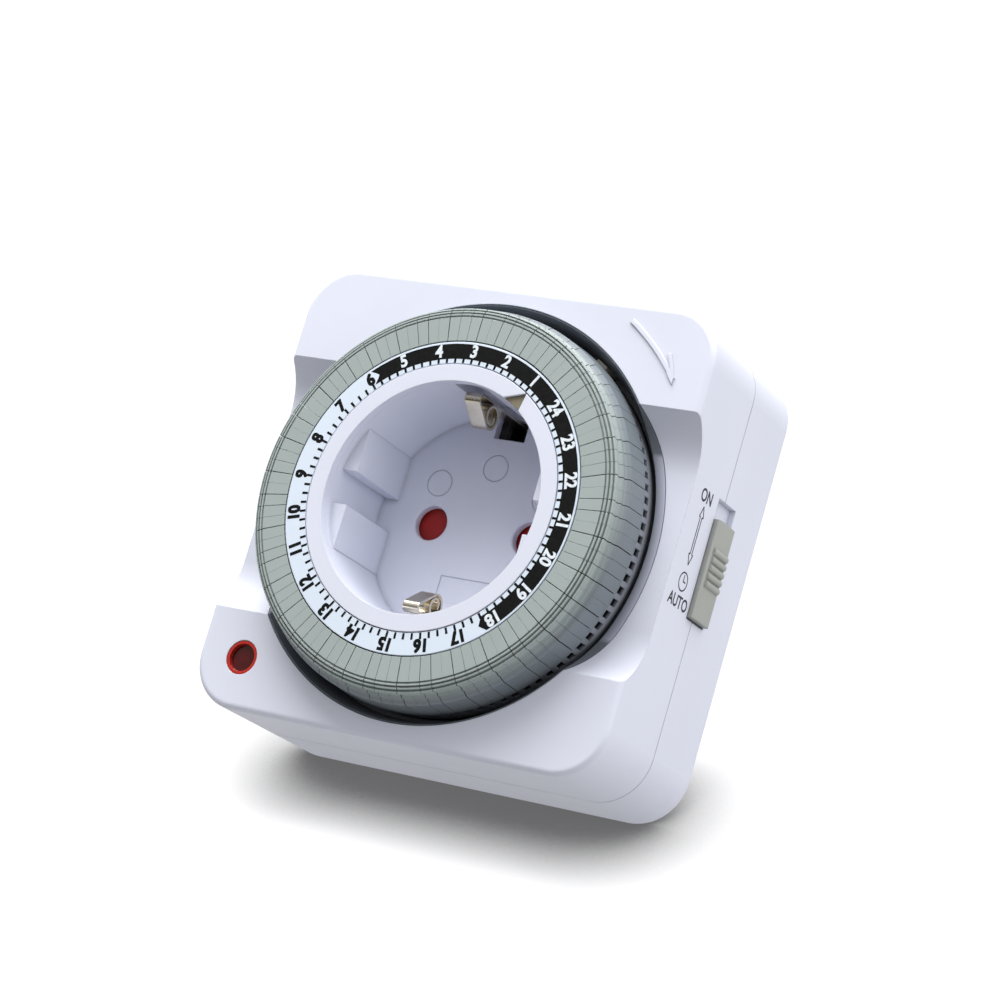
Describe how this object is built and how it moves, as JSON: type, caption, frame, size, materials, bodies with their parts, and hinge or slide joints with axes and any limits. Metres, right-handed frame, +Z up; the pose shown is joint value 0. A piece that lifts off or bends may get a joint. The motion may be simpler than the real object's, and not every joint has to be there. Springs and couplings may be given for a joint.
{
  "type": "programmable timer",
  "caption": "Plug-in 24-hour mechanical socket timer: turning dial with push-in tappets round an earthed socket, side override slider, indicator lens and rear plug.",
  "frame": {"origin": "centre of the rear face that meets the wall, on the dial's axis", "axes": "+Z up, +Y into the wall (the plug side), -Y out of the wall towards the user, +X to the right as seen by the user"},
  "size_m": [0.08, 0.0766, 0.0784],
  "materials": {
    "housing_white": "fine satin, bluish white",
    "well_white": "satin, bluish white",
    "charcoal": "satin moulded",
    "scale_pale": "printed",
    "tappet_grey": "satin, green grey",
    "slider_grey": "satin, warm grey",
    "gear_nylon": "natural nylon",
    "steel": "turned",
    "zinc": "zinc plated",
    "nickel": "bright nickel plate",
    "brass": "stamped",
    "bronze": "spring bronze",
    "clip_metal": "yellowed nickel plate",
    "shutter_red": "satin",
    "lens_red": "translucent red",
    "plate_grey": "moulded",
    "lamp_glass": "clear",
    "resistor": "lacquered",
    "pointer_tan": "dull"
  },
  "bodies": {
    "housing": {"front_housing": "housing_white", "rear_housing": "housing_white", "socket_well": "well_white", "index_ring": "well_white", "time_pointer": "pointer_tan", "movement_plate": "plate_grey", "guard_ring": "charcoal", "motor_body": "zinc", "gear_axles": "steel", "gear_bridge": "brass", "live_plug_pin": "nickel", "neutral_plug_pin": "nickel", "plug_earth_contacts": "nickel", "earth_clips": "clip_metal", "live_socket_contact": "brass", "neutral_socket_contact": "brass", "live_inlet_strip": "brass", "blade_terminal": "brass", "neutral_link": "brass", "shutter_spring": "steel", "trigger_axle": "steel", "indicator_lens": "lens_red", "neon_lamp": "lamp_glass", "lamp_resistor": "resistor", "housing_screws": "zinc", "plate_screws": "zinc"},
    "dial": {"dial_drum": "charcoal", "scale_ring": "scale_pale"},
    "tappets_01": {"tappets_01": "tappet_grey"},
    "tappets_02": {"tappets_02": "tappet_grey"},
    "tappets_03": {"tappets_03": "tappet_grey"},
    "tappets_04": {"tappets_04": "tappet_grey"},
    "tappets_05": {"tappets_05": "tappet_grey"},
    "tappets_06": {"tappets_06": "tappet_grey"},
    "tappets_07": {"tappets_07": "tappet_grey"},
    "tappets_08": {"tappets_08": "tappet_grey"},
    "tappets_09": {"tappets_09": "tappet_grey"},
    "tappets_10": {"tappets_10": "tappet_grey"},
    "tappets_11": {"tappets_11": "tappet_grey"},
    "tappets_12": {"tappets_12": "tappet_grey"},
    "tappets_13": {"tappets_13": "tappet_grey"},
    "tappets_14": {"tappets_14": "tappet_grey"},
    "tappets_15": {"tappets_15": "tappet_grey"},
    "tappets_16": {"tappets_16": "tappet_grey"},
    "tappets_17": {"tappets_17": "tappet_grey"},
    "tappets_18": {"tappets_18": "tappet_grey"},
    "tappets_19": {"tappets_19": "tappet_grey"},
    "tappets_20": {"tappets_20": "tappet_grey"},
    "tappets_21": {"tappets_21": "tappet_grey"},
    "tappets_22": {"tappets_22": "tappet_grey"},
    "tappets_23": {"tappets_23": "tappet_grey"},
    "tappets_24": {"tappets_24": "tappet_grey"},
    "gear_third": {"gear_third": "gear_nylon"},
    "gear_second": {"gear_second": "gear_nylon"},
    "gear_first": {"gear_first": "gear_nylon"},
    "motor_pinion": {"motor_pinion": "brass"},
    "pin_shutter": {"pin_shutter": "shutter_red"},
    "trigger_lever": {"trigger_lever": "gear_nylon"},
    "contact_blade": {"contact_blade": "bronze"},
    "override_slider": {"override_slider": "slider_grey"}
  },
  "joints": [
    {"name": "dial_turn", "type": "hinge", "parent": "housing", "child": "dial", "pos_m": [0, 0, 0], "axis": [0, 1, 0], "continuous": true},
    {"name": "push_tappets_01", "type": "slide", "parent": "dial", "child": "tappets_01", "axis": [0, 1, 0], "range_m": [0, 0.002]},
    {"name": "push_tappets_02", "type": "slide", "parent": "dial", "child": "tappets_02", "axis": [0, 1, 0], "range_m": [0, 0.002]},
    {"name": "push_tappets_03", "type": "slide", "parent": "dial", "child": "tappets_03", "axis": [0, 1, 0], "range_m": [0, 0.002]},
    {"name": "push_tappets_04", "type": "slide", "parent": "dial", "child": "tappets_04", "axis": [0, 1, 0], "range_m": [0, 0.002]},
    {"name": "push_tappets_05", "type": "slide", "parent": "dial", "child": "tappets_05", "axis": [0, 1, 0], "range_m": [0, 0.002]},
    {"name": "push_tappets_06", "type": "slide", "parent": "dial", "child": "tappets_06", "axis": [0, 1, 0], "range_m": [0, 0.002]},
    {"name": "push_tappets_07", "type": "slide", "parent": "dial", "child": "tappets_07", "axis": [0, 1, 0], "range_m": [0, 0.002]},
    {"name": "push_tappets_08", "type": "slide", "parent": "dial", "child": "tappets_08", "axis": [0, 1, 0], "range_m": [0, 0.002]},
    {"name": "push_tappets_09", "type": "slide", "parent": "dial", "child": "tappets_09", "axis": [0, 1, 0], "range_m": [0, 0.002]},
    {"name": "push_tappets_10", "type": "slide", "parent": "dial", "child": "tappets_10", "axis": [0, 1, 0], "range_m": [0, 0.002]},
    {"name": "push_tappets_11", "type": "slide", "parent": "dial", "child": "tappets_11", "axis": [0, 1, 0], "range_m": [0, 0.002]},
    {"name": "push_tappets_12", "type": "slide", "parent": "dial", "child": "tappets_12", "axis": [0, 1, 0], "range_m": [0, 0.002]},
    {"name": "push_tappets_13", "type": "slide", "parent": "dial", "child": "tappets_13", "axis": [0, 1, 0], "range_m": [0, 0.002]},
    {"name": "push_tappets_14", "type": "slide", "parent": "dial", "child": "tappets_14", "axis": [0, 1, 0], "range_m": [0, 0.002]},
    {"name": "push_tappets_15", "type": "slide", "parent": "dial", "child": "tappets_15", "axis": [0, 1, 0], "range_m": [0, 0.002]},
    {"name": "push_tappets_16", "type": "slide", "parent": "dial", "child": "tappets_16", "axis": [0, 1, 0], "range_m": [0, 0.002]},
    {"name": "push_tappets_17", "type": "slide", "parent": "dial", "child": "tappets_17", "axis": [0, 1, 0], "range_m": [0, 0.002]},
    {"name": "push_tappets_18", "type": "slide", "parent": "dial", "child": "tappets_18", "axis": [0, 1, 0], "range_m": [0, 0.002]},
    {"name": "push_tappets_19", "type": "slide", "parent": "dial", "child": "tappets_19", "axis": [0, 1, 0], "range_m": [0, 0.002]},
    {"name": "push_tappets_20", "type": "slide", "parent": "dial", "child": "tappets_20", "axis": [0, 1, 0], "range_m": [0, 0.002]},
    {"name": "push_tappets_21", "type": "slide", "parent": "dial", "child": "tappets_21", "axis": [0, 1, 0], "range_m": [0, 0.002]},
    {"name": "push_tappets_22", "type": "slide", "parent": "dial", "child": "tappets_22", "axis": [0, 1, 0], "range_m": [0, 0.002]},
    {"name": "push_tappets_23", "type": "slide", "parent": "dial", "child": "tappets_23", "axis": [0, 1, 0], "range_m": [0, 0.002]},
    {"name": "push_tappets_24", "type": "slide", "parent": "dial", "child": "tappets_24", "axis": [0, 1, 0], "range_m": [0, 0.002]},
    {"name": "gear_third_spin", "type": "hinge", "parent": "housing", "child": "gear_third", "pos_m": [-0.02553, 0, 0.01995], "axis": [0, 1, 0], "continuous": true},
    {"name": "gear_second_spin", "type": "hinge", "parent": "housing", "child": "gear_second", "pos_m": [-0.02665, 0, 0.0072], "axis": [0, 1, 0], "continuous": true},
    {"name": "gear_first_spin", "type": "hinge", "parent": "housing", "child": "gear_first", "pos_m": [-0.02626, 0, -0.004], "axis": [0, 1, 0], "continuous": true},
    {"name": "motor_pinion_spin", "type": "hinge", "parent": "housing", "child": "motor_pinion", "pos_m": [-0.02548, 0, -0.01517], "axis": [0, 1, 0], "continuous": true},
    {"name": "shutter_turn", "type": "hinge", "parent": "housing", "child": "pin_shutter", "pos_m": [0, 0, 0], "axis": [0, 1, 0], "range_deg": [0, 38]},
    {"name": "trigger_rock", "type": "hinge", "parent": "housing", "child": "trigger_lever", "pos_m": [0.0305, -0.0255, 0.0291], "axis": [0, 0, -1], "range_deg": [0, 4.4]},
    {"name": "blade_bend", "type": "hinge", "parent": "housing", "child": "contact_blade", "pos_m": [0.008, -0.01285, 0.0291], "axis": [0, 0, 1], "range_deg": [0, 4.4]},
    {"name": "override_slide", "type": "slide", "parent": "housing", "child": "override_slider", "axis": [0, 0, 1], "range_m": [0, 0.0032]}
  ],
  "couplings": [
    {"joint": "gear_third_spin", "follows": "dial_turn", "ratio": -8},
    {"joint": "gear_second_spin", "follows": "dial_turn", "ratio": 24},
    {"joint": "gear_first_spin", "follows": "dial_turn", "ratio": -60},
    {"joint": "motor_pinion_spin", "follows": "dial_turn", "ratio": 150},
    {"joint": "blade_bend", "follows": "trigger_rock", "ratio": 1}
  ]
}
